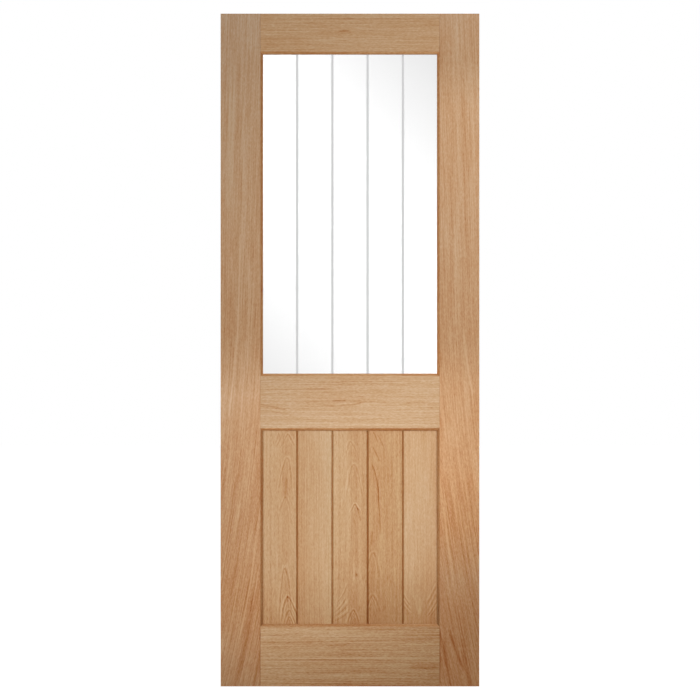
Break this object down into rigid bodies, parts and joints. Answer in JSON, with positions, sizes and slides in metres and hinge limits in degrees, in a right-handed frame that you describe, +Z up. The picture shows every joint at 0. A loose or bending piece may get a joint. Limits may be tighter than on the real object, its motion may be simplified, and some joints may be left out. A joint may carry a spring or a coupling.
{
  "type": "glazed door",
  "caption": "Half-glazed oak door leaf: a clear pane etched with upright lines over a panel of V-jointed boards, in a flush stile-and-rail frame with bevelled beads on both faces.",
  "frame": {"origin": "on the hinge edge of the leaf, at its bottom and halfway through its thickness", "axes": "+X from the hinge edge to the lock edge, +Y from the front face to the back face, +Z up"},
  "size_m": [0.762, 0.035, 1.981],
  "materials": {
    "oak_veneer": "clear satin lacquer on oak veneer",
    "oak_lipping": "clear satin lacquer on solid oak",
    "oak_boards": "clear satin lacquer on oak veneer",
    "oak_beads": "clear satin lacquer on solid oak",
    "clear_glass": "clear toughened glass with frosted lines"
  },
  "bodies": {
    "root": {"hinge_stile": "oak_veneer", "lock_stile": "oak_veneer", "top_rail": "oak_veneer", "lock_rail": "oak_veneer", "bottom_rail": "oak_veneer", "hinge_lipping": "oak_lipping", "lock_lipping": "oak_lipping", "panel_board_1": "oak_boards", "panel_board_2": "oak_boards", "panel_board_3": "oak_boards", "panel_board_4": "oak_boards", "panel_board_5": "oak_boards", "front_glazing_bead_top": "oak_beads", "front_glazing_bead_bottom": "oak_beads", "front_glazing_bead_hinge_side": "oak_beads", "front_glazing_bead_lock_side": "oak_beads", "back_glazing_bead_top": "oak_beads", "back_glazing_bead_bottom": "oak_beads", "back_glazing_bead_hinge_side": "oak_beads", "back_glazing_bead_lock_side": "oak_beads", "front_panel_bead_top": "oak_beads", "front_panel_bead_bottom": "oak_beads", "front_panel_bead_hinge_side": "oak_beads", "front_panel_bead_lock_side": "oak_beads", "back_panel_bead_top": "oak_beads", "back_panel_bead_bottom": "oak_beads", "back_panel_bead_hinge_side": "oak_beads", "back_panel_bead_lock_side": "oak_beads", "glass_pane": "clear_glass"}
  },
  "joints": []
}
